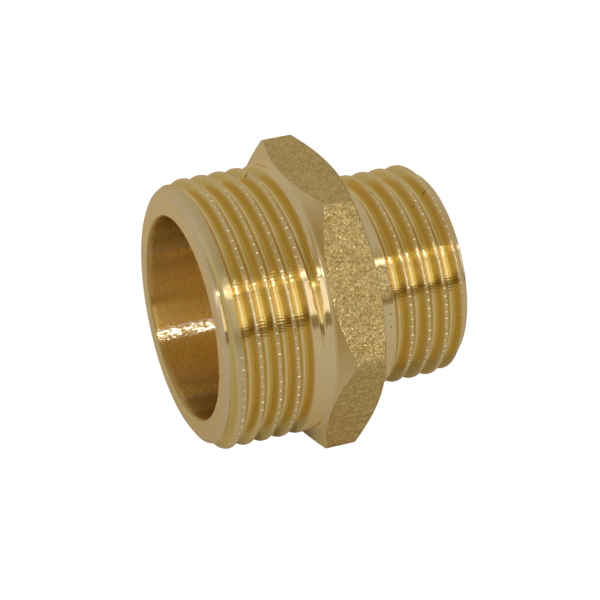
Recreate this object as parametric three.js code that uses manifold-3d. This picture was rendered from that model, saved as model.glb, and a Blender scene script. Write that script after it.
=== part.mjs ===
// Reducing hex nipple, male x male, one solid piece of brass: a large parallel
// pipe thread, a spanner hexagon and a smaller parallel pipe thread, with a
// stepped flow bore right through.  Millimetres, +Z up.  The bore axis is X,
// centred on the origin; the large end looks along -X, the small end along +X,
// and two flats of the hexagon face straight up and straight down.
//
// Names ending in _X are measured from the large end face.  Thread angles are
// measured from straight up (+Z) towards -Y.
import * as THREE from 'three';
import { mergeVertices } from 'three/addons/utils/BufferGeometryUtils.js';
import Module from 'manifold-3d';

// ---------------------------------------------------------------- dimensions
const LENGTH = 26.0;            // overall, end face to end face
const HALF = LENGTH / 2;
const SEGMENTS = 48;            // facets to a full turn

// both threads
const PITCH = 25.4 / 14;        // 14 turns to the inch
const THREAD_DEPTH = 0.640327 * PITCH;
const ROOT_FLAT = 0.36;         // flat standing in for the rounded root
const FLANK_SLOPE = Math.tan(THREE.MathUtils.degToRad(55 / 2)); // 55 degree form
const RUNOUT_DEG = 90;          // how far round the tool takes to lift out

// large end, G 3/4
const BIG_MAJOR_R = 26.441 / 2;
const BIG_FACE_R = 11.75;       // outer edge of the flat end ring
const BIG_RIM_X = 0.50;         // the steep rim bevel ends here ...
const BIG_RIM_R = 12.57;        // ... at this radius, and a 30 degree lead-in
const BIG_CHAMFER_X = 1.63;     // runs on to the full thread diameter here
const BIG_CREST_X = 0.913;      // first crest, straight up
const BIG_END_DEG = 4 * 360 + 105; // the groove has run out, past the first root
const BIG_CUT_TURNS = 6;        // enough to start clear of the end face
const BIG_NECK_FILLET = 0.30;   // eases the barrel into the hexagon's cone
const BIG_NECK_RISE = 0.06;     // rise at the middle point of that fillet

// small end, G 1/2
const SMALL_MAJOR_R = 20.955 / 2;
const SMALL_FACE_R = 9.30;      // outer edge of the flat end ring
const SMALL_CHAMFER = 1.10;     // axial length
const SMALL_CREST_X = 21.0105;  // second crest, straight up
const SMALL_START_DEG = -150;   // where the groove starts, before the first root
const SMALL_CUT_DEG = 5 * 360 + 60; // enough to finish clear of the end face
const SMALL_NECK_FILLET = 0.40; // under the shoulder
const SMALL_NECK_STEPS = 3;

// hexagon
const HEX_ACROSS_FLATS = 27.0;
const HEX_ROUNDING = 1.0;       // radius of the six rounded edges
const HEX_ROUNDING_CENTRE_R =
  (HEX_ACROSS_FLATS / 2 - HEX_ROUNDING) / Math.cos(Math.PI / 6);
const HEX_CORNER_R = HEX_ROUNDING_CENTRE_R + HEX_ROUNDING;
const HEX_BLOCK_X = 9.5;        // untrimmed block starts here, short of the cone
const HEX_EDGE_START_X = 11.70; // the corner edge runs from here ...
const HEX_EDGE_END_X = 14.65;   // ... to here
const BIG_CONE_SLOPE = 1.76;    // radius lost per mm towards the large end
const SMALL_CONE_SLOPE = 2.178; // radius lost per mm towards the small end
const CONE_START_R = 12.6;      // the large-end cone starts inside the barrel
const SHOULDER_X = 15.62;       // flat shoulder facing the small end

// flow bore
const BORE_BIG_R = 9.95;
const BORE_SMALL_R = 7.50;
const BORE_STEP_X = 13.6;       // the wide bore ends here, in a steep cone
const BORE_STEP_SLOPE = Math.tan(THREE.MathUtils.degToRad(59));
const BORE_BIG_CHAMFER = 0.17;
const BORE_SMALL_CHAMFER = 0.5;

// overlaps and clearances for the solid operations
const BIG_BARREL_OVERLAP = 1.2;   // barrels reach this far into the hexagon
const SMALL_BARREL_OVERLAP = 1.5;
const BURIED_STEP = 0.2;          // rise of the buried end of the large barrel
const CORNER_CLEARANCE = 0.4;     // trimming cones meet their cylinder beyond the corners
const CUTTER_CLEARANCE = 0.16;    // thread cutter stands proud of the crests
const LIFT_CLEARANCE = 0.05;      // lifted root stands proud of the crests
const BORE_OVERSHOOT = 1;         // bore tool passes each end, flaring at 45 degrees

// ---------------------------------------------------------------- helpers
const wasm = await Module();
wasm.setup();

function signedVolume(positions, triangles) {
  const a = new THREE.Vector3();
  const b = new THREE.Vector3();
  const c = new THREE.Vector3();
  let sum = 0;
  for (let i = 0; i < triangles.length; i += 3) {
    a.fromArray(positions, triangles[i] * 3);
    b.fromArray(positions, triangles[i + 1] * 3);
    c.fromArray(positions, triangles[i + 2] * 3);
    sum += a.dot(b.cross(c));
  }
  return sum / 6;
}

// Welds a closed geometry, drops its collapsed triangles and makes it a
// Manifold with its skin facing outwards.
function toSolid(geometry) {
  const soup = geometry.index ? geometry.toNonIndexed() : geometry;
  const bare = new THREE.BufferGeometry();
  bare.setAttribute('position', soup.getAttribute('position'));
  const welded = mergeVertices(bare, 1e-5);
  const positions = welded.getAttribute('position').array;
  const corners = welded.index.array;

  const triangles = [];
  for (let i = 0; i < corners.length; i += 3) {
    const [a, b, c] = corners.slice(i, i + 3);
    if (a !== b && b !== c && c !== a) triangles.push(a, b, c);
  }
  if (signedVolume(positions, triangles) < 0) {
    for (let i = 0; i < triangles.length; i += 3) {
      [triangles[i + 1], triangles[i + 2]] = [triangles[i + 2], triangles[i + 1]];
    }
  }
  return new wasm.Manifold(new wasm.Mesh({
    numProp: 3,
    vertProperties: new Float32Array(positions),
    triVerts: new Uint32Array(triangles),
  }));
}

// Solid of revolution about X from [x from the large end, radius] pairs.
// The profile is closed down to the axis at both ends.
function turned(profile) {
  const closed = [[profile[0][0], 0], ...profile, [profile.at(-1)[0], 0]];
  const lathe = new THREE.LatheGeometry(
    closed.map(([x, radius]) => new THREE.Vector2(radius, x)),
    SEGMENTS,
  );
  // lathe axis Y -> X, with the first facet edge straight up
  lathe.applyMatrix4(new THREE.Matrix4().set(
    0, 1, 0, -HALF,
    1, 0, 0, 0,
    0, 0, 1, 0,
    0, 0, 0, 1,
  ));
  return toSolid(lathe);
}

// Threading cutter: the section between two crests, carried along a
// right-hand helix.  rootX is the root at angle 0.  lift(deg) runs from 0, at
// full depth, to 1, where the section has risen straight out of the metal.
function threadCutter({ majorR, rootX, fromDeg, toDeg, lift }) {
  const rootR = majorR - THREAD_DEPTH;
  const topR = majorR + CUTTER_CLEARANCE;
  const rootHalf = ROOT_FLAT / 2;
  const topHalf = rootHalf + (topR - rootR) * FLANK_SLOPE;
  // radius, axial offset from the root
  const section = [
    [rootR, -rootHalf],
    [rootR, rootHalf],
    [topR, topHalf],
    [topR, -topHalf],
    [rootR, -rootHalf],
  ];
  const stepDeg = 360 / SEGMENTS;
  const steps = Math.round((toDeg - fromDeg) / stepDeg);

  // the lathe supplies the triangles; its vertices are moved onto the helix
  const sweep = new THREE.LatheGeometry(
    section.map(([radius, offset]) => new THREE.Vector2(radius, offset)),
    steps,
    0,
    THREE.MathUtils.degToRad(steps * stepDeg),
  );
  const vertices = sweep.getAttribute('position');
  for (let i = 0; i <= steps; i++) {
    const deg = fromDeg + i * stepDeg;
    const angle = THREE.MathUtils.degToRad(deg);
    const rise = (THREAD_DEPTH + LIFT_CLEARANCE) * lift(deg);
    section.forEach(([radius, offset], k) => {
      vertices.setXYZ(
        i * section.length + k,
        rootX + PITCH * deg / 360 + offset - HALF,
        -(radius + rise) * Math.sin(angle),
        (radius + rise) * Math.cos(angle),
      );
    });
  }

  // end caps, wound to match the swept skin at each end
  const skin = Array.from(sweep.toNonIndexed().getAttribute('position').array);
  const caps = [
    [0, [0, 1, 2, 0, 2, 3]],
    [steps, [0, 2, 1, 0, 3, 2]],
  ];
  for (const [station, corners] of caps) {
    for (const corner of corners) {
      const index = station * section.length + corner;
      skin.push(vertices.getX(index), vertices.getY(index), vertices.getZ(index));
    }
  }
  const closed = new THREE.BufferGeometry();
  closed.setAttribute('position', new THREE.Float32BufferAttribute(skin, 3));
  return toSolid(closed);
}

// ---------------------------------------------------------------- blank
// where each trimming cone of the hexagon reaches a given radius
const bigConeX = (radius) => HEX_EDGE_START_X - (HEX_CORNER_R - radius) / BIG_CONE_SLOPE;
const smallConeX = (radius) => HEX_EDGE_END_X + (HEX_CORNER_R - radius) / SMALL_CONE_SLOPE;

function bigBarrel() {
  const neckX = bigConeX(BIG_MAJOR_R);
  const onCone = BIG_NECK_FILLET * 0.55;  // the fillet ends on the cone, past the neck
  return turned([
    [0, BIG_FACE_R],
    [BIG_RIM_X, BIG_RIM_R],
    [BIG_CHAMFER_X, BIG_MAJOR_R],
    [neckX - BIG_NECK_FILLET, BIG_MAJOR_R],
    [neckX - BIG_NECK_FILLET * 0.25, BIG_MAJOR_R + BIG_NECK_RISE],
    [neckX + onCone, BIG_MAJOR_R + onCone * BIG_CONE_SLOPE],
    [neckX + BIG_BARREL_OVERLAP, BIG_MAJOR_R + BURIED_STEP],
  ]);
}

function smallBarrel() {
  const filletX = SHOULDER_X + SMALL_NECK_FILLET;
  const filletR = SMALL_MAJOR_R + SMALL_NECK_FILLET;
  const fillet = [];
  for (let i = 0; i <= SMALL_NECK_STEPS; i++) {
    const angle = THREE.MathUtils.degToRad(180 + 90 * i / SMALL_NECK_STEPS);
    fillet.push([
      filletX + SMALL_NECK_FILLET * Math.cos(angle),
      filletR + SMALL_NECK_FILLET * Math.sin(angle),
    ]);
  }
  return turned([
    [SHOULDER_X - SMALL_BARREL_OVERLAP, filletR],
    ...fillet,
    [LENGTH - SMALL_CHAMFER, SMALL_MAJOR_R],
    [LENGTH, SMALL_FACE_R],
  ]);
}

// hexagonal prism with rounded edges
function hexBlock() {
  const outline = [];                   // x is up, y is across
  for (let corner = 0; corner < 6; corner++) {
    const cornerDeg = 30 + 60 * corner;
    const cornerAngle = THREE.MathUtils.degToRad(cornerDeg);
    for (let j = -2; j <= 2; j++) {
      const angle = THREE.MathUtils.degToRad(cornerDeg + 15 * j);
      outline.push(new THREE.Vector2(
        HEX_ROUNDING_CENTRE_R * Math.cos(cornerAngle) + HEX_ROUNDING * Math.cos(angle),
        HEX_ROUNDING_CENTRE_R * Math.sin(cornerAngle) + HEX_ROUNDING * Math.sin(angle),
      ));
    }
  }
  const shape = new THREE.Shape(outline);
  shape.closePath();
  const prism = new THREE.ExtrudeGeometry(shape, {
    depth: SHOULDER_X - HEX_BLOCK_X,
    bevelEnabled: false,
    steps: 1,
  });
  // extrusion axis Z -> X, outline x -> Z
  prism.applyMatrix4(new THREE.Matrix4().set(
    0, 0, 1, HEX_BLOCK_X - HALF,
    0, 1, 0, 0,
    1, 0, 0, 0,
    0, 0, 0, 1,
  ));
  return toSolid(prism);
}

// turned body whose cones trim the hexagon's corners
function hexEnvelope() {
  const outerR = HEX_CORNER_R + CORNER_CLEARANCE;
  return turned([
    [bigConeX(CONE_START_R), CONE_START_R],
    [bigConeX(outerR), outerR],
    [smallConeX(outerR), outerR],
    [SHOULDER_X, HEX_CORNER_R - (SHOULDER_X - HEX_EDGE_END_X) * SMALL_CONE_SLOPE],
  ]);
}

// ---------------------------------------------------------------- cuts
function bore() {
  const stepEndX = BORE_STEP_X + (BORE_BIG_R - BORE_SMALL_R) / BORE_STEP_SLOPE;
  const bigMouthR = BORE_BIG_R + BORE_BIG_CHAMFER;
  const smallMouthR = BORE_SMALL_R + BORE_SMALL_CHAMFER;
  return turned([
    [-BORE_OVERSHOOT, bigMouthR + BORE_OVERSHOOT],
    [0, bigMouthR],
    [BORE_BIG_CHAMFER, BORE_BIG_R],
    [BORE_STEP_X, BORE_BIG_R],
    [stepEndX, BORE_SMALL_R],
    [LENGTH - BORE_SMALL_CHAMFER, BORE_SMALL_R],
    [LENGTH, smallMouthR],
    [LENGTH + BORE_OVERSHOOT, smallMouthR + BORE_OVERSHOOT],
  ]);
}

// runs out towards the hexagon, at its last turn
function bigThreadCut() {
  return threadCutter({
    majorR: BIG_MAJOR_R,
    rootX: BIG_CREST_X + PITCH / 2,
    fromDeg: BIG_END_DEG - 360 * BIG_CUT_TURNS,
    toDeg: BIG_END_DEG,
    lift: (deg) => THREE.MathUtils.smoothstep(deg, BIG_END_DEG - RUNOUT_DEG, BIG_END_DEG),
  });
}

// runs out towards the hexagon, at its first turn
function smallThreadCut() {
  const fullDepthDeg = SMALL_START_DEG + RUNOUT_DEG;
  return threadCutter({
    majorR: SMALL_MAJOR_R,
    rootX: SMALL_CREST_X - PITCH * 1.5,
    fromDeg: SMALL_START_DEG,
    toDeg: SMALL_START_DEG + SMALL_CUT_DEG,
    lift: (deg) => 1 - THREE.MathUtils.smoothstep(deg, SMALL_START_DEG, fullDepthDeg),
  });
}

// ---------------------------------------------------------------- the part
function brass() {
  return new THREE.MeshStandardMaterial({
    name: 'brass',
    color: 0xb08d3e,
    metalness: 1.0,
    roughness: 0.35,
    flatShading: true,
  });
}

function hexNipple() {
  const skin = bigBarrel()
    .add(hexBlock().intersect(hexEnvelope()))
    .add(smallBarrel())
    .subtract(bigThreadCut())
    .subtract(smallThreadCut())
    .subtract(bore())
    .getMesh();
  const geometry = new THREE.BufferGeometry();
  geometry.setAttribute('position', new THREE.Float32BufferAttribute(skin.vertProperties, 3));
  geometry.setIndex(new THREE.Uint32BufferAttribute(skin.triVerts, 1));
  geometry.computeVertexNormals();
  const nipple = new THREE.Mesh(geometry, brass());
  nipple.name = 'hex_nipple';
  return nipple;
}

const part = new THREE.Group();
part.name = 'reducing_hex_nipple';
part.add(hexNipple());
export default part;
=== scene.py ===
"""Looks for the brass reducing hex nipple.  The fine skin is one closed mesh
built from its profile, with the threads carried as true helices, on top of
the CAD frame.  Metres inside Blender; the shape maths below is in mm."""
import math

import bpy
import numpy as np
from mathutils import Matrix, Vector


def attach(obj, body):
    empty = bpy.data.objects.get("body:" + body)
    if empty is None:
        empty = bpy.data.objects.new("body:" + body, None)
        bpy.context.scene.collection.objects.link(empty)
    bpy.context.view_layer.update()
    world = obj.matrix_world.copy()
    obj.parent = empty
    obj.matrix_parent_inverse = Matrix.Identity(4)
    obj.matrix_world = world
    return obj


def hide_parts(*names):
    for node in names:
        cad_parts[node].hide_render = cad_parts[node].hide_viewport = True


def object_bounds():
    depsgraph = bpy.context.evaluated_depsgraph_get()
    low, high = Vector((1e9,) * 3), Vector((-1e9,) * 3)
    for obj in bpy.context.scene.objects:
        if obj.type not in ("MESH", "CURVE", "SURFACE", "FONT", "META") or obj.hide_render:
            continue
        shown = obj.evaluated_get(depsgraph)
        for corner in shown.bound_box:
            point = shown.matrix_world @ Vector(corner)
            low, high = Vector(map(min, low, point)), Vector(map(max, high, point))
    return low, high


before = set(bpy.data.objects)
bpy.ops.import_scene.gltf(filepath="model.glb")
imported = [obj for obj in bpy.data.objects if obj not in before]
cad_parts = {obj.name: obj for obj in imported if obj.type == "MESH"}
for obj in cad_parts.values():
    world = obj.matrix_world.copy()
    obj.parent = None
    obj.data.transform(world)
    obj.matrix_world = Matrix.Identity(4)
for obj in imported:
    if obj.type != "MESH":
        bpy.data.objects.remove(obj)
CAD_BOX = [[float(c) for c in corner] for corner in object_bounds()]
scene = bpy.context.scene

# ------------------------------------------------------------------ sizes, mm
LENGTH = 26.0
P = 25.4 / 14
H = 0.640327 * P
ROOT_R = 0.137329 * P
BIG_R = 26.441 / 2
BIG_FACE_R = 11.75
BIG_RIM_X, BIG_RIM_R = 0.50, 12.57
BIG_CHAMFER = 1.63
BIG_CREST = 0.913
BIG_END_DEG = 105 + 360 * 4
BIG_RUNOUT = 90.0
SMALL_R = 20.955 / 2
SMALL_FACE_R = 9.30
SMALL_CHAMFER = 1.10
SMALL_CREST = 21.0105
SMALL_FIRST_DEG = -150.0
SMALL_RUNOUT = 90.0
AF = 27.0
CORNER_RHO = 1.0
HEX_L, HEX_R = 11.70, 14.65
CONE_L, CONE_R = 1.76, 2.178
SHOULDER = 15.62
FILLET = 0.40
BORE_BIG, BORE_SMALL, BORE_STEP = 9.95, 7.50, 13.6
STEP_CONE = math.tan(math.radians(59))
DEBURR = 0.17
HEX_C = AF / 2 / math.cos(math.pi / 6) - CORNER_RHO * (1 / math.cos(math.pi / 6) - 1)
RC0 = (AF / 2 - CORNER_RHO) / math.cos(math.pi / 6)


# ------------------------------------------------------------------ noise
def lattice(seed, n=64):
    return np.random.default_rng(seed).standard_normal((n, n, n)).astype(np.float32)


_LAT = lattice(7)


def noise3(p, scale):
    """Smooth value noise, periodic over 64 cells, about -1..1; p is (k, 3) in mm."""
    q = p / scale + 17.37
    i = np.floor(q).astype(int)
    f = q - i
    f = f * f * (3 - 2 * f)
    out = 0.0
    for dx in (0, 1):
        for dy in (0, 1):
            for dz in (0, 1):
                w = (
                    (f[:, 0] if dx else 1 - f[:, 0])
                    * (f[:, 1] if dy else 1 - f[:, 1])
                    * (f[:, 2] if dz else 1 - f[:, 2])
                )
                out = out + w * _LAT[(i[:, 0] + dx) % 64, (i[:, 1] + dy) % 64, (i[:, 2] + dz) % 64]
    return out * 0.6


# ------------------------------------------------------------------ shape
def smin(a, b, k):
    h = np.maximum(k - np.abs(a - b), 0.0) / k
    return np.minimum(a, b) - h * h * k * 0.25


def smax(a, b, k):
    return -smin(-a, -b, k)


def smooth(t):
    t = np.clip(t, 0, 1)
    return t * t * (3 - 2 * t)


S_ARC = ROOT_R * math.sin(math.radians(62.5))
C_ARC = ROOT_R * (1 - math.cos(math.radians(62.5)))
TAN = math.tan(math.radians(62.5))
CREST_POW = TAN * S_ARC / C_ARC
ROOT_S, ROOT_D = 0.28, 1.09          # half width of the rounded root, and its depth
ROOT_C = ROOT_D - (C_ARC + (P / 2 - ROOT_S - S_ARC) * TAN)
ROOT_POW = TAN * ROOT_S / ROOT_C


def thread_depth(u):
    """Depth below the crest at axial distance u from a crest, 55 degree form:
    a slightly flattened crest, straight flanks, a round root."""
    u = np.abs((u + P / 2) % P - P / 2)
    crest = C_ARC * (np.minimum(u, S_ARC) / S_ARC) ** CREST_POW
    flank = C_ARC + (u - S_ARC) * TAN
    v = P / 2 - u
    root = ROOT_D - ROOT_C * (np.minimum(v, ROOT_S) / ROOT_S) ** ROOT_POW
    return np.where(u < S_ARC, crest, np.where(v < ROOT_S, root, flank))


def groove(x, th, crest0, deg_lift):
    """Depth of the threaded groove at x (mm from the large end) and angle th."""
    deg = np.degrees(th)
    s = x - P * deg / 360 - crest0
    m = np.floor(s / P)
    d = thread_depth(s)
    return np.maximum(d - deg_lift(deg + 360 * m), 0.0)


def lift_big(total):
    # total is measured on the root line that starts half a pitch past the crest
    return smooth((total - (BIG_END_DEG - BIG_RUNOUT)) / BIG_RUNOUT) * (H + 0.05) + np.where(
        total > BIG_END_DEG, 10.0, 0.0
    )


def lift_small(total):
    t = total + 360 * 2  # crest0 below is two pitches past the first groove's crest
    return smooth((SMALL_FIRST_DEG + SMALL_RUNOUT - t) / SMALL_RUNOUT) * (H + 0.05) + np.where(
        t < SMALL_FIRST_DEG, 10.0, 0.0
    )


def hex_radius(th):
    d = (th + math.pi / 6) % (math.pi / 3) - math.pi / 6  # from the nearest flat's middle
    flat = AF / 2 / np.cos(d)
    phi = math.pi / 6 - np.abs(d)  # from the nearest corner
    rad = np.maximum(CORNER_RHO**2 - (RC0 * np.sin(phi)) ** 2, 0)
    rounded = RC0 * np.cos(phi) + np.sqrt(rad)
    lim = math.radians(30) - math.atan((AF / 2 * math.tan(math.pi / 6) - CORNER_RHO * math.tan(math.pi / 6)) / (AF / 2))
    return np.where(phi < lim, rounded, flat)


def big_radius(x, th):
    r = BIG_R - groove(x, th, BIG_CREST, lift_big)
    rim = BIG_FACE_R + (BIG_RIM_R - BIG_FACE_R) * x / BIG_RIM_X
    lead = BIG_RIM_R + (BIG_R - BIG_RIM_R) * (x - BIG_RIM_X) / (BIG_CHAMFER - BIG_RIM_X)
    return smin(smin(r, lead, 0.05), rim, 0.10)


def big_envelope(x):
    rim = BIG_FACE_R + (BIG_RIM_R - BIG_FACE_R) * x / BIG_RIM_X
    lead = BIG_RIM_R + (BIG_R - BIG_RIM_R) * (x - BIG_RIM_X) / (BIG_CHAMFER - BIG_RIM_X)
    return np.minimum(np.minimum(rim, lead), BIG_R)


def small_envelope(x):
    return np.minimum(SMALL_R, SMALL_FACE_R + (SMALL_R - SMALL_FACE_R) * (LENGTH - x) / SMALL_CHAMFER)


def small_radius(x, th):
    r = SMALL_R - groove(x, th, SMALL_CREST, lift_small)
    return smin(r, SMALL_FACE_R + (SMALL_R - SMALL_FACE_R) * (LENGTH - x) / SMALL_CHAMFER, 0.05)


# ------------------------------------------------------------------ columns
def angles():
    """Column angles: even round the flats, closer at the six rounded edges."""
    half = [0.0, 0.5, 1.0, 1.45, 1.9, 2.4]
    rest = np.linspace(2.4, 57.6, 26)[1:-1]
    out = []
    for k in range(6):
        c = 30 + 60 * k
        out += [c + a for a in half]
        out += [c + a for a in rest]
        out += [c + 60 - a for a in half[:0:-1]]
    return np.radians(np.sort(np.mod(out, 360)))


TH = angles()
NC = len(TH)

# helical line offsets inside one pitch, measured from a crest
CREST_OFF = [0.0, 0.075, 0.135, 0.18, 0.221]
FLANK_OFF = [0.34, 0.45, 0.55]
ROOT_OFF = [0.627, 0.68, 0.735, 0.79, 0.85]
half = CREST_OFF + FLANK_OFF + ROOT_OFF
OFFS = np.array(sorted(half + [P - a for a in half if a > 0] + [P / 2]))
NL = len(OFFS)


def helix_lines(a, b, th, crest0, extra_to=None, extra_from=None):
    """(key, x) of every helical line strictly inside a..b at angle th.  Keys rise with x
    and are shared by neighbouring columns."""
    base = crest0 + P * math.degrees(th) / 360
    k0 = math.floor((a - base) / P) - 1
    k1 = math.ceil((b - base) / P) + 1
    keys, xs = [], []
    for k in range(k0, k1 + 1):
        for j, o in enumerate(OFFS):
            x = base + k * P + o
            nxt = base + k * P + (OFFS[j + 1] if j + 1 < NL else P)
            if a + 0.015 < x < b - 0.015:
                keys.append(2 * (k * NL + j))
                xs.append(x)
            if extra_to is not None and x < extra_to or extra_from is not None and x > extra_from:
                y = (x + nxt) / 2
                if a + 0.015 < y < b - 0.015:
                    keys.append(2 * (k * NL + j) + 1)
                    xs.append(y)
    return keys, xs


verts, masks, uv_v = [], [], []
columns = []  # per column: list of zones, each (kind, [vertex ids], [keys])
cone_ids = []

NECK_X = 9.95           # the large thread's helical lines end here
SMALL_NECK_X = 17.05    # the small thread's begin here
cone_l = lambda r: HEX_L - (HEX_C - r) / CONE_L
cone_r = lambda r: HEX_R + (HEX_C - r) / CONE_R
KNEE = cone_l(BIG_R)

for c, th in enumerate(TH):
    zones = []
    pts = []  # (x, r, blast, depth, bore)

    def zone(kind, xs, rs, keys=None, blast=0.0, depth=0.0, bore=0.0):
        n = len(xs)
        col = np.zeros((n, 5))
        col[:, 0], col[:, 1], col[:, 2], col[:, 3], col[:, 4] = xs, rs, blast, depth, bore
        ids = list(range(len(pts), len(pts) + n))
        pts.extend(col.tolist())
        zones.append((kind, ids, list(keys) if keys is not None else None))

    # the wide bore, from its floor out to the large end
    xs = [0.0, 0.03, DEBURR * 0.85, DEBURR + 0.06] + list(np.linspace(0.7, BORE_STEP - 0.25, 16))
    rs = [BORE_BIG + DEBURR, BORE_BIG + DEBURR - 0.035, BORE_BIG + 0.035, BORE_BIG] + [BORE_BIG] * 16
    step_len = (BORE_BIG - BORE_SMALL) / STEP_CONE
    in_x = xs + [BORE_STEP - 0.03, BORE_STEP + 0.01, BORE_STEP + 0.06]
    in_r = rs + [BORE_BIG, BORE_BIG - 0.03, BORE_BIG - 0.10 - 0.0]
    in_x += list(BORE_STEP + step_len * np.array([0.2, 0.4, 0.6, 0.8, 0.94]))
    in_r += list(BORE_BIG - (BORE_BIG - BORE_SMALL) * np.array([0.2, 0.4, 0.6, 0.8, 0.94]))
    in_x += [BORE_STEP + step_len + 0.02, BORE_STEP + step_len + 0.12]
    in_r += [BORE_SMALL + 0.03, BORE_SMALL]
    in_x += list(np.linspace(BORE_STEP + step_len + 0.6, LENGTH - 0.62, 12))
    in_r += [BORE_SMALL] * 12
    in_x += [LENGTH - 0.53, LENGTH - 0.47, LENGTH - 0.25, LENGTH - 0.03, LENGTH]
    in_r += [BORE_SMALL, BORE_SMALL + 0.03, BORE_SMALL + 0.25, BORE_SMALL + 0.465, BORE_SMALL + 0.50]
    inner = list(zip(in_x, in_r))[::-1]
    zone("grid", [p[0] for p in inner], [p[1] for p in inner], bore=1.0)

    # large end ring, flat
    ring_r = np.concatenate([[BORE_BIG + DEBURR + 0.02], np.linspace(BORE_BIG + DEBURR + 0.15, BIG_FACE_R - 0.16, 7), [BIG_FACE_R - 0.045]])
    zone("grid", np.zeros(len(ring_r)), ring_r)

    # large thread
    a, b = 0.03, NECK_X
    keys, xs = helix_lines(a, b, th, BIG_CREST, extra_to=2.0)
    xs = np.array([a] + xs + [b])
    rs = big_radius(xs, np.full(len(xs), th))
    zone("helix", xs, rs, keys=[-10**9] + keys + [10**9], depth=np.clip((big_envelope(xs) - rs) / H, 0, 1) * (xs > 0))

    # neck, cone, hexagon, cone: rows follow the edges of this column's section
    rh = float(hex_radius(np.array([th]))[0])
    xl, xr = cone_l(rh), cone_r(rh)
    w = 0.16
    left = [NECK_X + (KNEE - 0.30 - NECK_X) * t for t in (0.34, 0.67, 1.0)]
    left += [KNEE - 0.16, KNEE - 0.06, KNEE + 0.05, KNEE + 0.16]
    x_in = min(KNEE + 0.27, xl - 0.14)
    if x_in <= KNEE + 0.15:
        left = left[:3] + [KNEE - 0.16, KNEE - 0.09, KNEE - 0.03, KNEE + 0.02]
        x_in = KNEE + 0.07
    left += [x_in + (xl - 0.10 - x_in) * t for t in (0.0, 0.25, 0.5, 0.75, 1.0)]
    left += [xl - 0.055, xl - 0.02, xl + 0.02, xl + 0.06, xl + 0.12]
    mid = list(np.linspace(xl + 0.12, xr - 0.10, 18)[1:])
    right = [xr - 0.055, xr - 0.02, xr + 0.02, xr + 0.05]
    xs = np.array(left + mid + right)
    right_r = HEX_C - (SHOULDER - HEX_R) * CONE_R
    base = np.full(len(xs), BIG_R)
    cl = HEX_C + (xs - HEX_L) * CONE_L
    cr = HEX_C - (xs - HEX_R) * CONE_R
    body = smin(smin(np.full(len(xs), rh), cl, 0.10), cr, 0.10)
    rs = np.where(xs < (xl + xr) / 2, smax(base, body, 0.30), body)
    blast = np.clip((xs - (xl - 0.02)) / 0.04, 0, 1) * np.clip(((xr + 0.02) - xs) / 0.04, 0, 1)
    zone("grid", xs, rs, blast=blast)
    cone_ids.append((len(columns), zones[-1][1], ((xs > KNEE - 0.02) & (xs < xl + 0.05)).astype(float)))

    # flat shoulder: down the face, then the fillet into the small neck
    x0, r0 = xs[-1], rs[-1]
    end_x = SHOULDER - 0.03
    tail_x = [x0 + (end_x - x0) * t for t in (0.5, 1.0)] if x0 < end_x - 0.02 else [x0 + 0.004, x0 + 0.008]
    tail_r = [HEX_C - (x - HEX_R) * CONE_R for x in tail_x]
    tail_r = [min(r, rh) for r in tail_r]
    top_r = right_r - 0.05
    face_r = list(np.linspace(top_r, SMALL_R + FILLET + 0.05, 9))
    fx, fr = [], []
    for k in range(6):
        a_ = math.radians(180 + 90 * (k + 0.0) / 5)
        fx.append(SHOULDER + FILLET + FILLET * math.cos(a_))
        fr.append(SMALL_R + FILLET + FILLET * math.sin(a_))
    sx = tail_x + [SHOULDER] * len(face_r) + fx
    sr = tail_r + face_r + fr
    nx = [SHOULDER + FILLET + (SMALL_NECK_X - SHOULDER - FILLET) * t for t in (0.25, 0.5, 0.75)]
    zone("grid", sx + nx, sr + [SMALL_R] * 3, blast=0.0)

    # small thread
    a, b = SMALL_NECK_X, LENGTH - 0.03
    keys, xs = helix_lines(a, b, th, SMALL_CREST, extra_from=LENGTH - 1.45)
    xs = np.array([a] + xs + [b])
    rs = small_radius(xs, np.full(len(xs), th))
    zone("helix", xs, rs, keys=[-10**9] + keys + [10**9], depth=np.clip((small_envelope(xs) - rs) / H, 0, 1))

    # small end ring
    ring_r = np.concatenate([[SMALL_FACE_R - 0.045], np.linspace(SMALL_FACE_R - 0.15, BORE_SMALL + 0.62, 5), [BORE_SMALL + 0.52]])
    zone("grid", np.full(len(ring_r), LENGTH), ring_r)

    offset = len(verts)
    arr = np.array(pts)
    seg = np.hypot(np.diff(arr[:, 0]), np.diff(arr[:, 1]))
    length = np.concatenate([[0], np.cumsum(seg)])
    for row in arr:
        verts.append((row[0], row[1], th))
        masks.append((row[2], row[3], row[4]))
    uv_v.extend(length.tolist())
    columns.append([(k, [i + offset for i in ids], keys) for k, ids, keys in zones])
    columns[-1].append(("count", len(arr), offset))

verts = np.array(verts)
masks = np.array(masks)

# ------------------------------------------------------------------ skin
faces, face_uv_wrap = [], []


def strip_grid(A, B):
    for i in range(len(A) - 1):
        faces.append((A[i], A[i + 1], B[i + 1], B[i]))


def strip_helix(A, ka, B, kb):
    """Zip two columns whose lines are matched by key."""
    i = j = 0
    while i < len(A) - 1 or j < len(B) - 1:
        if i == len(A) - 1:
            faces.append((A[i], B[j + 1], B[j]))
            j += 1
        elif j == len(B) - 1:
            faces.append((A[i], A[i + 1], B[j]))
            i += 1
        elif ka[i + 1] == kb[j + 1]:
            faces.append((A[i], A[i + 1], B[j + 1], B[j]))
            i += 1
            j += 1
        elif ka[i + 1] < kb[j + 1]:
            faces.append((A[i], A[i + 1], B[j]))
            i += 1
        else:
            faces.append((A[i], B[j + 1], B[j]))
            j += 1


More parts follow.
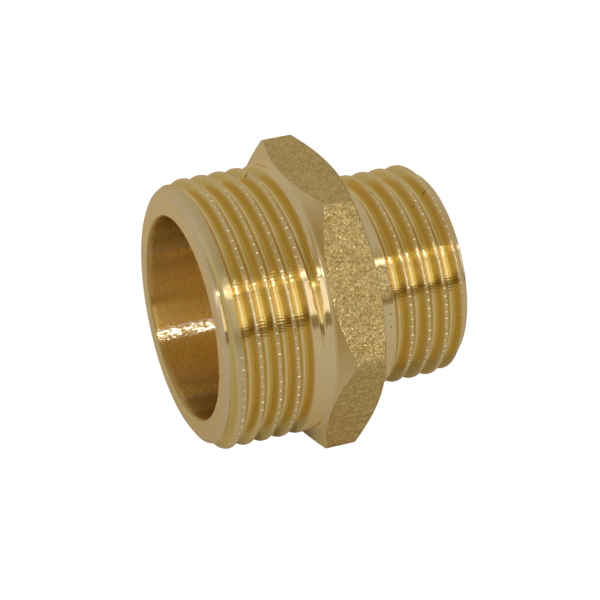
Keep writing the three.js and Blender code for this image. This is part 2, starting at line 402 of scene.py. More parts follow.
for c in range(NC):
    d = (c + 1) % NC
    Z0 = [z for z in columns[c] if z[0] != "count"]
    Z1 = [z for z in columns[d] if z[0] != "count"]
    shift = 2 * NL if d == 0 else 0
    for zi, (z0, z1) in enumerate(zip(Z0, Z1)):
        if z0[0] == "grid":
            strip_grid(z0[1], z1[1])
        else:
            k1 = [k if abs(k) >= 10**9 else k - shift for k in z1[2]]
            # keys count from the crest at this column's own angle: past a full turn the
            # next column's lines are one pitch behind
            strip_helix(z0[1], z0[2], z1[1], k1)
        if zi + 1 < len(Z0):
            faces.append((z0[1][-1], Z0[zi + 1][1][0], Z1[zi + 1][1][0], z1[1][-1]))
    faces.append((Z0[-1][1][-1], Z0[0][1][0], Z1[0][1][0], Z1[-1][1][-1]))

X = verts[:, 0]
R = verts[:, 1].copy()
T = verts[:, 2]
xyz = np.stack([X - LENGTH / 2, -R * np.sin(T), R * np.cos(T)], 1)

# the forged faces are not dead flat: a few hundredths of a millimetre, inwards only
blast = masks[:, 0]
lump = 0.012 * noise3(xyz, 1.6) + 0.010 * noise3(xyz + 31.0, 0.7)
lump = np.clip(lump - 0.022, -0.06, 0.0) * blast * (np.abs(R * np.sin(T)) < 15.2)
R = R + lump
xyz = np.stack([X - LENGTH / 2, -R * np.sin(T), R * np.cos(T)], 1)

co = xyz / 1000.0
mesh = bpy.data.meshes.new("nipple_skin")
mesh.from_pydata(co.tolist(), [], [f[::-1] for f in faces])   # outward faces
mesh.update()
mesh.validate(verbose=False)

# where each point sits on the thread form: phase round the pitch, and how full
# the grooves on both sides of the nearest crest are
def thread_phase(x, th, lead, lift):
    base = lead + P * np.degrees(th) / 360
    off = (x - base + P / 2) % P - P / 2
    top = x - off
    a = groove(top - 0.42, th, lead, lift)
    b = groove(top + 0.42, th, lead, lift)
    full = smooth(np.minimum(a, b) / 0.30)
    return off, full


is_big = (X < NECK_X + 0.01) & (X > 0.02) & (masks[:, 2] < 0.5)
is_small = (X > SMALL_NECK_X - 0.01) & (X < LENGTH - 0.02) & (masks[:, 2] < 0.5)
off = np.full(len(X), P / 2)
full = np.zeros(len(X))
for sel, lead, lift in ((is_big, BIG_CREST, lift_big), (is_small, SMALL_CREST, lift_small)):
    o_, f_ = thread_phase(X[sel], T[sel], lead, lift)
    off[sel], full[sel] = o_, f_
phase = np.ones((len(X), 4), np.float32)
phase[:, 0] = 0.5 + 0.5 * np.cos(2 * math.pi * off / P)
phase[:, 1] = 0.5 + 0.5 * np.sin(2 * math.pi * off / P)
phase[:, 2] = full
pattr = mesh.attributes.new("thread", "FLOAT_COLOR", "POINT")
pattr.data.foreach_set("color", phase.ravel())

# masks for the material
attr = mesh.attributes.new("mask", "FLOAT_COLOR", "POINT")
data = np.zeros((len(co), 4), np.float32)
data[:, :3] = masks
starts = [c[-1][2] for c in columns]
for col_i, ids, m_ in cone_ids:
    data[starts[col_i] + np.array(ids), 3] = m_
attr.data.foreach_set("color", data.ravel())

# unwrapped round the axis and along the profile
total = max(uv_v)
uvl = mesh.uv_layers.new(name="OFBake")
nl = len(mesh.loops)
vi = np.empty(nl, np.int32)
mesh.loops.foreach_get("vertex_index", vi)
u = verts[vi, 2] / (2 * math.pi)
v = np.array(uv_v)[vi]
start = np.empty(len(mesh.polygons), np.int32)
count = np.empty(len(mesh.polygons), np.int32)
mesh.polygons.foreach_get("loop_start", start)
mesh.polygons.foreach_get("loop_total", count)
poly = np.repeat(np.arange(len(start)), count)
umax = np.zeros(len(start))
np.maximum.at(umax, poly, u)
u = np.where((umax[poly] > 0.8) & (u < 0.2), u + 1.0, u)
vmax = np.zeros(len(start))
np.maximum.at(vmax, poly, v)
v = np.where((vmax[poly] > 0.75 * total) & (v < 0.1 * total), total, v)
lo_u = u.min()
uv = np.stack([0.004 + 0.992 * (u - lo_u) / (u.max() - lo_u), 0.004 + 0.992 * v / (total * 1.002)], 1).astype(np.float32)
uvl.data.foreach_set("uv", uv.ravel())

# smooth shading with true edges kept sharp
mesh.polygons.foreach_set("use_smooth", np.ones(len(mesh.polygons), bool))
mesh.set_sharp_from_angle(angle=math.radians(38))
nipple = bpy.data.objects.new("nipple_skin", mesh)
scene.collection.objects.link(nipple)
print("skin", len(mesh.vertices), "vertices", sum(len(f) - 2 for f in faces), "triangles")


# ------------------------------------------------------------------ material
class Nodes:
    """A few short hands for building a node tree."""

    def __init__(self, tree):
        self.t = tree

    def new(self, kind, **kw):
        n = self.t.nodes.new(kind)
        for k, val in kw.items():
            setattr(n, k, val)
        return n

    def link(self, a, b):
        self.t.links.new(a, b)

    def put(self, sock, val):
        if hasattr(val, "is_output"):
            self.link(val, sock)
        else:
            sock.default_value = val

    def math(self, op, a, b=0.0, c=0.0, clamp=False):
        n = self.new("ShaderNodeMath", operation=op, use_clamp=clamp)
        self.put(n.inputs[0], a)
        self.put(n.inputs[1], b)
        self.put(n.inputs[2], c)
        return n.outputs[0]

    def ramp(self, val, a, b, lo=0.0, hi=1.0, kind="SMOOTHSTEP"):
        n = self.new("ShaderNodeMapRange", interpolation_type=kind)
        n.clamp = True if kind == "LINEAR" else n.clamp
        for s, x in zip(n.inputs[:5], (val, a, b, lo, hi)):
            self.put(s, x)
        return n.outputs[0]

    def noise(self, vec, scale, detail=2.0, rough=0.5, dist=0.0):
        n = self.new("ShaderNodeTexNoise")
        self.put(n.inputs["Vector"], vec)
        n.inputs["Scale"].default_value = scale
        n.inputs["Detail"].default_value = detail
        n.inputs["Roughness"].default_value = rough
        n.inputs["Distortion"].default_value = dist
        return n.outputs["Fac"]

    def vec(self, x, y, z):
        n = self.new("ShaderNodeCombineXYZ")
        for s, val in zip(n.inputs, (x, y, z)):
            self.put(s, val)
        return n.outputs[0]

    def mix(self, f, a, b):
        n = self.new("ShaderNodeMix", data_type="RGBA")
        self.put(n.inputs[0], f)
        self.put(n.inputs[6], a)
        self.put(n.inputs[7], b)
        return n.outputs[2]

    def mixf(self, f, a, b):
        n = self.new("ShaderNodeMix", data_type="FLOAT")
        self.put(n.inputs[0], f)
        self.put(n.inputs[2], a)
        self.put(n.inputs[3], b)
        return n.outputs[0]


def brass_material():
    m = bpy.data.materials.new("brass_turned_and_blasted")
    m.use_nodes = True
    N = Nodes(m.node_tree)
    m.node_tree.nodes.clear()
    out = N.new("ShaderNodeOutputMaterial")
    bsdf = N.new("ShaderNodeBsdfPrincipled")
    N.link(bsdf.outputs[0], out.inputs[0])
    bsdf.inputs["Metallic"].default_value = 1.0
    bsdf.inputs["Specular Tint"].default_value = (1.0, 0.86, 0.62, 1)
    mul = lambda a, b: N.math("MULTIPLY", a, b)
    add = lambda a, b: N.math("ADD", a, b)

    tc = N.new("ShaderNodeTexCoord")
    mm = N.new("ShaderNodeVectorMath", operation="SCALE")
    N.link(tc.outputs["Object"], mm.inputs[0])
    mm.inputs["Scale"].default_value = 1000.0
    pos = mm.outputs[0]
    sep = N.new("ShaderNodeSeparateXYZ")
    N.link(pos, sep.inputs[0])
    x, y, z = sep.outputs
    rad = N.math("SQRT", add(mul(y, y), mul(z, z)))
    ang = N.math("ARCTAN2", mul(y, -1.0), z)     # from +Z towards -Y
    ca, sa = N.math("COSINE", ang), N.math("SINE", ang)
    at = N.new("ShaderNodeAttribute", attribute_name="mask")
    msep = N.new("ShaderNodeSeparateColor")
    N.link(at.outputs["Color"], msep.inputs[0])
    blast, depth, bore = msep.outputs
    cone = at.outputs["Alpha"]
    tt = N.new("ShaderNodeAttribute", attribute_name="thread")
    tsep = N.new("ShaderNodeSeparateColor")
    N.link(tt.outputs["Color"], tsep.inputs[0])
    pc, ps, full = tsep.outputs
    cu = N.math("ARCTAN2", N.math("SUBTRACT", ps, 0.5), N.math("SUBTRACT", pc, 0.5))
    cu = mul(cu, P / (2 * math.pi))              # signed mm from the crest line
    acu = N.math("ABSOLUTE", cu)
    crest = mul(N.ramp(acu, 0.24, 0.15), full)
    thread = N.ramp(depth, 0.02, 0.12)
    thread = N.math("MAXIMUM", thread, full)

    # --- patterns that run round the part with the cut, and along it with chatter
    across = add(x, mul(rad, 0.9))
    ringv = N.vec(across, mul(sa, 0.9), mul(ca, 0.9))
    ring_f = N.noise(ringv, 14.0, 4.0, 0.65)
    ring_c = N.noise(ringv, 3.1, 2.0, 0.5)
    cloud = N.noise(pos, 0.55, 3.0, 0.55)
    fine = N.noise(pos, 9.0, 3.0, 0.6)
    ripv = N.vec(mul(x, 0.16), mul(sa, 12.0), mul(ca, 12.0))
    rip = N.noise(ripv, 3.6, 1.5, 0.6)           # chatter: lines along the axis
    swing = add(mul(ang, 236.0), mul(N.noise(N.vec(mul(x, 0.4), mul(sa, 5.0), mul(ca, 5.0)), 1.0, 1.0), 12.0))
    chatter = N.math("SINE", swing)              # the tool's own beat, a third of a millimetre apart
    beat = N.ramp(N.noise(N.vec(mul(x, 0.7), mul(sa, 9.0), mul(ca, 9.0)), 0.8, 1.0), 0.40, 0.62, 0.35, 1.0)
    chatter = mul(chatter, beat)

    # --- blasted skin: flat-sided pits
    def cells(scale):
        v = N.new("ShaderNodeTexVoronoi", feature="F1")
        N.put(v.inputs["Vector"], pos)
        v.inputs["Scale"].default_value = scale
        c = N.new("ShaderNodeVectorMath", operation="SUBTRACT")
        N.link(v.outputs["Color"], c.inputs[0])
        c.inputs[1].default_value = (0.5, 0.5, 0.5)
        return v, c.outputs[0]

    v1, tilt1 = cells(5.3)
    v2, tilt2 = cells(10.0)
    g2 = N.noise(pos, 5.5, 4.0, 0.62)
    g3 = N.noise(pos, 1.3, 3.0, 0.6)

    # --- burrs along the crests, about eighty to a turn: their facets tilt the normal, and their near-white colour is a painted highlight
    def burrs_and_glints(per_turn, at_u, size, jitter):
        t = add(mul(ang, per_turn / (2 * math.pi)), mul(N.noise(pos, 0.35, 1.0), 1.2))
        cell = N.math("FLOOR", t)
        w = N.new("ShaderNodeTexWhiteNoise", noise_dimensions="2D")
        N.link(N.vec(cell, N.math("FLOOR", mul(x, 0.9)), 0.0), w.inputs["Vector"])
        f = N.math("SUBTRACT", N.math("FRACT", t), 0.5)
        arc = mul(f, 2 * math.pi * 12.6 / per_turn)
        u0 = add(at_u, mul(N.math("SUBTRACT", w.outputs["Value"], 0.5), jitter))
        du = N.math("SUBTRACT", cu, u0)
        d2 = add(mul(mul(arc, arc), N.ramp(ang, math.radians(85.0), math.radians(122.0), 4.0, 1.5)), mul(du, du))
        s2 = mul(add(0.30, w.outputs["Value"]), size * size)
        s2 = mul(s2, N.ramp(ang, math.radians(90.0), math.radians(125.0), 1.0, 1.7))
        return mul(N.ramp(N.math("DIVIDE", d2, s2), 1.0, 0.0), full)

    dots = burrs_and_glints(79.0, -0.03, 0.17, 0.10)
    dots2 = mul(burrs_and_glints(171.0, 0.12, 0.075, 0.16), 0.6)
    dots = N.math("MAXIMUM", dots, dots2)
    dots = mul(dots, N.ramp(ang, math.radians(35.0), math.radians(75.0), 0.60, 1.0))
    first = N.math("MAXIMUM", N.ramp(x, 1.75 - LENGTH / 2, 1.95 - LENGTH / 2), N.ramp(ang, math.radians(70.0), math.radians(85.0)))
    dots = mul(dots, first)

    # --- a rough patch on the small neck where the blank was left as blasted
    px = N.math("SUBTRACT", x, 17.15 - LENGTH / 2)
    pa = N.math("SUBTRACT", ang, math.radians(63.0))
    pd = add(mul(mul(px, px), 1 / 0.85**2), mul(mul(pa, pa), 1 / math.radians(8.5) ** 2))
    pd = add(pd, mul(N.math("SUBTRACT", g2, 0.5), 0.9))
    small = N.ramp(x, 2.9, 3.0)
    patch = mul(N.ramp(pd, 1.15, 0.80), mul(small, N.math("SUBTRACT", 1.0, thread, clamp=True)))

    # --- nicks from handling: axial place (mm from the large end), angle, half sizes in mm
    nicks = None
    for nx, na, hx, ha in (
        (7.86, -9.1, 0.28, 0.20), (19.25, 9.1, 0.20, 0.16), (24.35, 15.4, 0.24, 0.14), (17.46, 80.3, 0.14, 0.10),
        (17.39, 87.6, 0.16, 0.09), (5.18, 89.7, 0.14, 0.16), (22.6, 24.0, 0.12, 0.12), (6.9, -62.0, 0.20, 0.16),
        (21.3, 158.0, 0.18, 0.14), (3.6, 141.0, 0.14, 0.12), (8.4, -121.0, 0.20, 0.14), (24.6, -75.0, 0.16, 0.16),
    ):
        ddx = mul(N.math("SUBTRACT", x, nx - LENGTH / 2), 1 / (hx * 0.62))
        dda = mul(mul(N.math("SUBTRACT", ang, math.radians(na)), rad), 1 / (ha * 0.85))
        one = add(add(mul(ddx, ddx), mul(dda, dda)), mul(ddx, mul(dda, 0.2)))
        one = N.ramp(add(one, mul(N.math("SUBTRACT", g2, 0.5), 2.0)), 1.25, 0.45)
        nicks = one if nicks is None else N.math("MAXIMUM", nicks, one)
    nicks = mul(nicks, N.math("SUBTRACT", 1.0, bore, clamp=True))
    specks = N.new("ShaderNodeTexVoronoi", feature="F1")
    N.put(specks.inputs["Vector"], pos)
    specks.inputs["Scale"].default_value = 0.62
    specks = mul(N.ramp(specks.outputs["Distance"], 0.085, 0.045), crest)
    nicks = N.math("MAXIMUM", nicks, mul(specks, 0.8))

    # --- the bore: short torn grains of metal along the cut of the reamer, kept to a band where the lamp's streak falls; their paler colour there is a painted highlight
    gv = N.new("ShaderNodeTexVoronoi", feature="F1")
    N.put(gv.inputs["Vector"], N.vec(mul(x, 0.19), y, z))
    gv.inputs["Scale"].default_value = 15.0
    gsep = N.new("ShaderNodeSeparateColor")
    N.link(gv.outputs["Color"], gsep.inputs[0])
    gr, gg, gb = gsep.outputs
    off_band = N.math("ABSOLUTE", add(ang, math.radians(127.5)))
    lamp_streak_band = mul(N.ramp(off_band, math.radians(5.0), math.radians(2.2)), bore)
    torn_grains_and_streak = mul(N.ramp(gr, 0.50, 0.66), N.ramp(add(lamp_streak_band, mul(N.math("SUBTRACT", gb, 0.5), 0.5)), 0.20, 0.50))
    reach = N.ramp(x, 9.5 - LENGTH / 2, 6.0 - LENGTH / 2)
    torn_grains_and_streak = mul(torn_grains_and_streak, mul(bore, reach))
    lean_x = mul(torn_grains_and_streak, N.ramp(gg, 0.0, 1.0, -0.30, -0.80, "LINEAR"))
    lean_t = mul(torn_grains_and_streak, N.ramp(gb, 0.0, 1.0, -0.042, 0.042, "LINEAR"))
    lean = N.vec(lean_x, mul(mul(ca, -1.0), lean_t), mul(mul(sa, -1.0), lean_t))
    shimmer = N.math("MAXIMUM", N.ramp(N.math("ABSOLUTE", add(ang, math.radians(75.2))), math.radians(3.2), math.radians(0.6)),
                     N.ramp(N.math("ABSOLUTE", add(ang, math.radians(172.0))), math.radians(2.8), math.radians(0.5)))
    shimmer = mul(mul(shimmer, mul(bore, reach)), N.ramp(gr, 0.1, 0.9, 0.45, 1.0))

    # --- colour
    pale = (0.95, 0.730, 0.385, 1)
    warm = (0.92, 0.690, 0.330, 1)
    deep = (0.805, 0.600, 0.205, 1)
    turned = N.mix(mul(N.ramp(cloud, 0.42, 0.70), 0.5), pale, warm)
    # painted shade: the thread grooves get a darker, more saturated colour than the crests and neck
    turned = N.mix(N.ramp(depth, 0.03, 0.30), turned, deep)
    turned = N.mix(N.ramp(depth, 0.60, 0.82), turned, (0.93, 0.750, 0.350, 1))
    turned = N.mix(mul(crest, 0.75), turned, (0.86, 0.65, 0.29, 1))
    # painted highlight: the flank on the small-end side of each crest is given a paler colour
    painted_lit_flank = mul(mul(N.ramp(depth, 0.03, 0.12), N.ramp(depth, 0.60, 0.45)), N.ramp(cu, 0.0, 0.06))
    turned = N.mix(mul(painted_lit_flank, 0.45), turned, (0.93, 0.760, 0.430, 1))
    lead = mul(N.ramp(x, 1.75 - LENGTH / 2, 1.45 - LENGTH / 2), N.ramp(rad, 11.70, 11.80))
    lead = mul(lead, N.math("SUBTRACT", 1.0, N.ramp(depth, 0.02, 0.15), clamp=True))
    rim_f = mul(lead, N.ramp(x, 0.62 - LENGTH / 2, 0.42 - LENGTH / 2))
    turned = N.mix(mul(lead, 0.85), turned, (0.93, 0.720, 0.370, 1))
    # painted shade: the lead-in chamfer is darker between about 46 and 84 degrees round the axis
    lead_shade_band = mul(N.ramp(ang, math.radians(46.0), math.radians(54.0)), N.ramp(ang, math.radians(84.0), math.radians(70.0)))
    turned = N.mix(mul(mul(lead, lead_shade_band), 0.7), turned, (0.72, 0.545, 0.215, 1))
    turned = N.mix(mul(rim_f, 0.90), turned, (0.95, 0.745, 0.460, 1))
    knee = N.math("ABSOLUTE", N.math("SUBTRACT", x, KNEE - LENGTH / 2))
    knee = mul(N.ramp(knee, 0.24, 0.12), N.math("SUBTRACT", 1.0, N.math("MAXIMUM", blast, bore), clamp=True))
    speck = N.ramp(fine, 0.60, 0.70)
    turned = N.mix(mul(mul(speck, crest), 0.5), turned, (0.42, 0.30, 0.12, 1))
    # painted highlight: the burr dots are given a near-white colour so they read as glints
    turned = N.mix(mul(dots, 0.9), turned, (1.0, 0.90, 0.66, 1))
    turned = N.mix(mul(cone, 0.85), turned, (0.84, 0.635, 0.300, 1))
    # painted shade and light on the cone: darker towards its front side (about 15 to 110 degrees round the axis) for
    # rays from the camera, paler on the other sides
    front = mul(N.ramp(ang, math.radians(15.0), math.radians(42.0)), N.ramp(ang, math.radians(110.0), math.radians(72.0)))
    seen = N.new("ShaderNodeLightPath")
    front = mul(front, N.ramp(seen.outputs["Ray Depth"], 0.6, 0.4))   # only where it is seen straight, not mirrored in the neck
    turned = N.mix(mul(mul(cone, front), 0.85), turned, (0.66, 0.468, 0.168, 1))
    turned = N.mix(mul(mul(cone, N.math("SUBTRACT", 1.0, front, clamp=True)), 0.55), turned, (0.93, 0.730, 0.400, 1))
    borec = N.mix(N.ramp(ring_c, 0.3, 0.7), (0.89, 0.600, 0.198, 1), (0.86, 0.568, 0.180, 1))
    # painted highlight: paler colour on the torn grains in the streak band
    borec = N.mix(mul(torn_grains_and_streak, 0.9), borec, (1.0, 0.84, 0.58, 1))
    borec = N.mix(mul(shimmer, 0.55), borec, (1.0, 0.76, 0.46, 1))
    turned = N.mix(bore, turned, borec)
    # painted highlight: a paler colour along the knee where the large neck meets the cone
    turned = N.mix(mul(knee, 0.45), turned, (0.95, 0.780, 0.440, 1))
    # painted shadow: a dark line round the edge of the bore's mouth
    mouth = mul(N.ramp(rad, 10.17, 10.10), N.ramp(x, 0.27 - LENGTH / 2, 0.20 - LENGTH / 2))
    turned = N.mix(mul(mouth, 0.5), turned, (0.42, 0.28, 0.09, 1))
    turned = N.mix(mul(nicks, 0.88), turned, (0.24, 0.165, 0.055, 1))
    # light that has already bounced twice in a groove keeps its brass colour from before
    path = N.new("ShaderNodeLightPath")
    again = N.ramp(path.outputs["Ray Depth"], 1.4, 1.6)
    turned = N.mix(mul(again, 0.85), turned, (0.97, 0.93, 0.80, 1))
    grit = add(mul(g2, 0.6), mul(g3, 0.4))
    blastc = N.mix(N.ramp(grit, 0.36, 0.62), (0.550, 0.380, 0.122, 1), (0.815, 0.575, 0.218, 1))
    # bright crushed points of the blasting, one to two tenths of a millimetre
    c1, c2 = N.new("ShaderNodeSeparateColor"), N.new("ShaderNodeSeparateColor")
    N.link(v1.outputs["Color"], c1.inputs[0])
    N.link(v2.outputs["Color"], c2.inputs[0])
    points = N.math("MAXIMUM", mul(N.ramp(c1.outputs[2], 0.91, 0.94), N.ramp(v1.outputs["Distance"], 0.40, 0.22)), N.ramp(c2.outputs[2], 0.86, 0.90))
    blastc = N.mix(mul(points, 0.75), blastc, (0.98, 0.790, 0.430, 1))
    rough_skin = N.math("MAXIMUM", blast, mul(patch, 0.8))
    turned = N.mix(mul(patch, 0.9), turned, (0.80, 0.585, 0.235, 1))
    pit = N.ramp(N.noise(pos, 5.6, 3.0, 0.6), 0.53, 0.60)
    turned = N.mix(mul(patch, mul(pit, 0.8)), turned, (0.34, 0.225, 0.07, 1))
    glint = N.ramp(N.noise(pos, 4.3, 1.0, 0.5), 0.42, 0.34)
    turned = N.mix(mul(patch, glint), turned, (1.0, 0.82, 0.42, 1))
    rim_p = mul(mul(N.ramp(pd, 0.75, 0.95), N.ramp(pd, 1.25, 1.0)), mul(small, 0.6))
    rim_p = mul(rim_p, N.math("SUBTRACT", 1.0, thread, clamp=True))
    turned = N.mix(rim_p, turned, (0.42, 0.31, 0.14, 1))
    N.link(N.mix(blast, turned, blastc), bsdf.inputs["Base Color"])

    # --- roughness
    rt = add(0.085, mul(ring_f, 0.06))
    rt = add(rt, mul(N.ramp(cloud, 0.4, 0.7), 0.04))
    rt = add(rt, mul(crest, 0.04))
    rt = add(rt, mul(thread, 0.03))
    rt = add(rt, mul(cone, 0.20))
    rt = add(rt, mul(knee, 0.05))
    rt = add(rt, mul(lead, 0.19))
    rb = N.mixf(bore, rt, add(N.math("SUBTRACT", 0.26, mul(torn_grains_and_streak, 0.06)), mul(ring_f, 0.03)))
    rblast = add(N.mixf(patch, 0.22, 0.27), mul(g2, 0.15))
    N.link(N.mixf(rough_skin, rb, rblast), bsdf.inputs["Roughness"])
    bsdf.inputs["Anisotropic Rotation"].default_value = 0.25
    tan = N.new("ShaderNodeTangent", direction_type="RADIAL", axis="X")
    N.link(tan.outputs[0], bsdf.inputs["Tangent"])
    N.link(N.mixf(rough_skin, N.mixf(bore, add(0.60, mul(thread, 0.40)), 1.0), 0.0), bsdf.inputs["Anisotropic"])

    # --- bump, in mm
    h_turn = add(mul(ring_f, 0.0012), mul(ring_c, 0.0012))
    h_turn = add(h_turn, mul(fine, 0.0005))
    low_down = N.ramp(depth, 0.52, 0.72)
    where = add(0.15, mul(low_down, 0.85))
    h_turn = add(h_turn, mul(mul(rip, where), 0.0080))
    h_turn = add(h_turn, mul(mul(chatter, where), 0.0021))
    ragged = N.noise(pos, 4.2, 3.0, 0.65)
    h_turn = add(h_turn, mul(mul(ragged, crest), 0.016))
    h_bore = add(mul(ring_f, 0.0006), mul(N.noise(pos, 5.5, 2.0, 0.6), 0.0007))
    h_turn = add(h_turn, mul(nicks, -0.012))
    h_t = N.mixf(bore, h_turn, h_bore)
    h_b = add(mul(g2, 0.005), mul(v1.outputs["Distance"], 0.019))
    h_b = add(h_b, mul(g3, 0.04))
    height = N.mixf(rough_skin, h_t, h_b)
    bump = N.new("ShaderNodeBump")
    bump.inputs["Strength"].default_value = 1.0
    bump.inputs["Distance"].default_value = 0.001
    N.link(height, bump.inputs["Height"])

    # the flat sides of the pits catch the light one by one
    tsum = N.new("ShaderNodeVectorMath", operation="ADD")
    sc1 = N.new("ShaderNodeVectorMath", operation="SCALE")
    N.link(tilt1, sc1.inputs[0])
    N.put(sc1.inputs["Scale"], mul(rough_skin, 0.50))
    sc2 = N.new("ShaderNodeVectorMath", operation="SCALE")
    N.link(tilt2, sc2.inputs[0])
    N.put(sc2.inputs["Scale"], mul(rough_skin, 0.46))
    N.link(sc1.outputs[0], tsum.inputs[0])
    N.link(sc2.outputs[0], tsum.inputs[1])
    nsum = N.new("ShaderNodeVectorMath", operation="ADD")
    N.link(bump.outputs[0], nsum.inputs[0])
    N.link(tsum.outputs[0], nsum.inputs[1])
    # burr facets face outwards and up
    side = N.math("SIGN", y)
    face = N.vec(-0.09, mul(side, 0.88), 0.466)
    fsc = N.new("ShaderNodeVectorMath", operation="SCALE")
    N.link(face, fsc.inputs[0])
    N.put(fsc.inputs["Scale"], mul(N.ramp(dots, 0.25, 0.5), 6.0))
    tornsum = N.new("ShaderNodeVectorMath", operation="ADD")
    N.link(nsum.outputs[0], tornsum.inputs[0])
    N.link(lean, tornsum.inputs[1])
    fsum = N.new("ShaderNodeVectorMath", operation="ADD")
    N.link(tornsum.outputs[0], fsum.inputs[0])
    N.link(fsc.outputs[0], fsum.inputs[1])
    nsum = fsum
    nn = N.new("ShaderNodeVectorMath", operation="NORMALIZE")
    N.link(nsum.outputs[0], nn.inputs[0])
    N.link(nn.outputs[0], bsdf.inputs["Normal"])
    return m


brass = brass_material()
mesh.materials.append(brass)
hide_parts("hex_nipple")
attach(nipple, "root")

# ------------------------------------------------------------------ floor
low = CAD_BOX[0][2]
floor_mesh = bpy.data.meshes.new("pale_floor")
s = 1.5
floor_mesh.from_pydata([(-s, -s, 0), (s, -s, 0), (s, s, 0), (-s, s, 0)], [], [(0, 1, 2, 3)])
floor = bpy.data.objects.new("pale_floor", floor_mesh)
floor.location = (0, 0, low - 0.00002)
scene.collection.objects.link(floor)
fm = bpy.data.materials.new("pale_floor")
fm.use_nodes = True
F = Nodes(fm.node_tree)
fm.node_tree.nodes.clear()
fo = F.new("ShaderNodeOutputMaterial")
paper = F.new("ShaderNodeBsdfDiffuse")
paper.inputs["Color"].default_value = (0.86, 0.86, 0.86, 1)
glow = F.new("ShaderNodeEmission")
glow.inputs["Color"].default_value = (1, 1, 1, 1)
glow.inputs["Strength"].default_value = 1.05
lp = F.new("ShaderNodeLightPath")
mixs = F.new("ShaderNodeMixShader")
F.link(lp.outputs["Is Camera Ray"], mixs.inputs[0])
F.link(paper.outputs[0], mixs.inputs[1])
F.link(glow.outputs[0], mixs.inputs[2])
F.link(mixs.outputs[0], fo.inputs[0])
floor_mesh.materials.append(fm)

# ------------------------------------------------------------------ light
world = bpy.data.worlds.new("studio")
scene.world = world
world.use_nodes = True
W = Nodes(world.node_tree)
world.node_tree.nodes.clear()
wo = W.new("ShaderNodeOutputWorld")
bg = W.new("ShaderNodeBackground")
W.link(bg.outputs[0], wo.inputs[0])
wtc = W.new("ShaderNodeTexCoord")
wsep = W.new("ShaderNodeSeparateXYZ")
W.link(wtc.outputs["Generated"], wsep.inputs[0])
wx, wy, wz = wsep.outputs
elev = W.math("ARCSINE", wz)                                    # radians
azim = W.math("ARCTAN2", wx, W.math("MULTIPLY", wy, -1.0))      # 0 towards -Y
deg = lambda d: math.radians(d)
base = W.ramp(elev, deg(-5), deg(75), 0.49, 0.43, "LINEAR")


# a flat soft box stands in front: px, pz are positions on its plane
PLANE_AZ = 10.0
daz = W.math("SUBTRACT", azim, deg(PLANE_AZ))
front = W.ramp(W.math("COSINE", daz), 0.02, 0.10)
cd = W.math("MAXIMUM", W.math("COSINE", daz), 0.02)
px = W.math("DIVIDE", W.math("SINE", daz), cd)
pz = W.math("DIVIDE", W.math("TANGENT", elev), cd)


def pane(x0, x1, sx, z0, z1, sz):
    a = W.math("MULTIPLY", W.ramp(px, x0 - sx, x0), W.ramp(px, x1 + sx, x1))
    e = W.math("MULTIPLY", W.ramp(pz, z0 - sz, z0), W.ramp(pz, z1 + sz, z1))
    return W.math("MULTIPLY", W.math("MULTIPLY", a, e), front)


def window(az0, az1, soft_az, el0, el1, soft_el):
    a = W.math("MULTIPLY", W.ramp(azim, deg(az0 - soft_az), deg(az0)), W.ramp(azim, deg(az1 + soft_az), deg(az1)))
    e = W.math("MULTIPLY", W.ramp(elev, deg(el0 - soft_el), deg(el0)), W.ramp(elev, deg(el1 + soft_el), deg(el1)))
    return W.math("MULTIPLY", a, e)


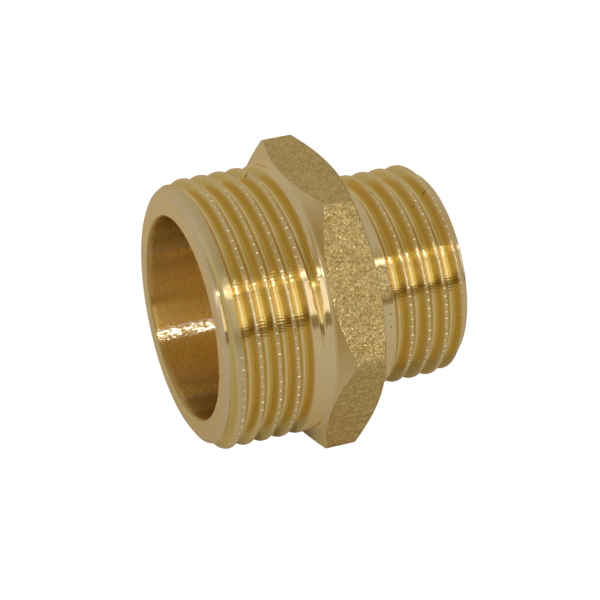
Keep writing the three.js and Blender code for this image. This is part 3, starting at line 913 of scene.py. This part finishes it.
box = pane(-0.80, 0.42, 0.14, 0.20, 0.765, 0.02)
dark = pane(-1.4, 1.6, 0.3, -0.02, 0.16, 0.05)
corner = pane(0.70, 1.9, 0.10, -0.04, 0.22, 0.03)
tubes = [pane(-0.3, 1.7, 0.2, c - 0.003, c + 0.003, 0.006) for c in (0.865, 0.945, 1.025)]
lamp = pane(0.27, 0.40, 0.04, 0.910, 0.980, 0.015)
above = window(-75, 32, 8, 47, 78, 6)
lamp2 = window(-46.5, -43.5, 0.8, 35.1, 36.3, 0.5)
level = W.mixf(dark, W.mixf(above, base, 0.34), 0.24)
level = W.mixf(corner, level, 0.05)
level = W.mixf(box, level, 1.0)
for t in tubes:
    level = W.math("ADD", level, W.math("MULTIPLY", t, 2.95))
level = W.mixf(lamp, level, 3.7)
level = W.mixf(lamp2, level, 250.0)
W.link(level, bg.inputs["Strength"])
tone = W.mix(dark, (1, 1, 1, 1), (1.0, 0.84, 0.52, 1))
tone = W.mix(corner, tone, (1.0, 0.66, 0.36, 1))
tone = W.mix(above, tone, (1.0, 0.87, 0.58, 1))
tone = W.mix(lamp2, tone, (0.92, 0.96, 1.08, 1))
W.link(tone, bg.inputs["Color"])

scene.view_settings.view_transform = "Standard"
scene.view_settings.look = "None"
scene.view_settings.exposure = 0.0
scene.view_settings.gamma = 1.0

# ------------------------------------------------------------------ camera
# The part lies with a hexagon flat up; the view is the one fitted to it.
AL, EL, ROLL, ROLL_X = 22.4072, 31.3278, 0.031, 2.643   # degrees; ROLL_X turns the part about its own axis
FOCAL_PX, DIST = 2565.14, 252.1565
CXP, CYP = 34.5372, 14.1987
al, el = math.radians(AL), math.radians(EL)
fw = Vector((math.sin(al) * math.cos(el), math.cos(al) * math.cos(el), -math.sin(el)))
rt = Vector((math.cos(al), -math.sin(al), 0.0))
up = rt.cross(fw)
spin = Matrix.Rotation(-math.radians(ROLL), 3, fw)
rt, up = spin @ rt, spin @ up
aim = Vector((16.0 - LENGTH / 2, 0.0, 0.0))
# image point of aim is (300 + CXP, 300 - CYP)
pos = aim - fw * DIST - rt * (CXP * DIST / FOCAL_PX) - up * (CYP * DIST / FOCAL_PX)
turn = Matrix.Rotation(math.radians(ROLL_X), 4, "X")   # from +Z towards -Y by ROLL_X
fw, rt, up, pos = (turn.to_3x3() @ w_ for w_ in (fw, rt, up, pos))
cam_data = bpy.data.cameras.new("camera")
cam = bpy.data.objects.new("camera", cam_data)
scene.collection.objects.link(cam)
cam_data.sensor_width = 36.0
cam_data.lens = FOCAL_PX / 600.0 * 36.0
cam_data.clip_start = 0.01
cam_data.clip_end = 10.0
m3 = Matrix((rt, up, -fw)).transposed()
cam.matrix_world = Matrix.Translation(pos / 1000.0) @ m3.to_4x4()
scene.camera = cam
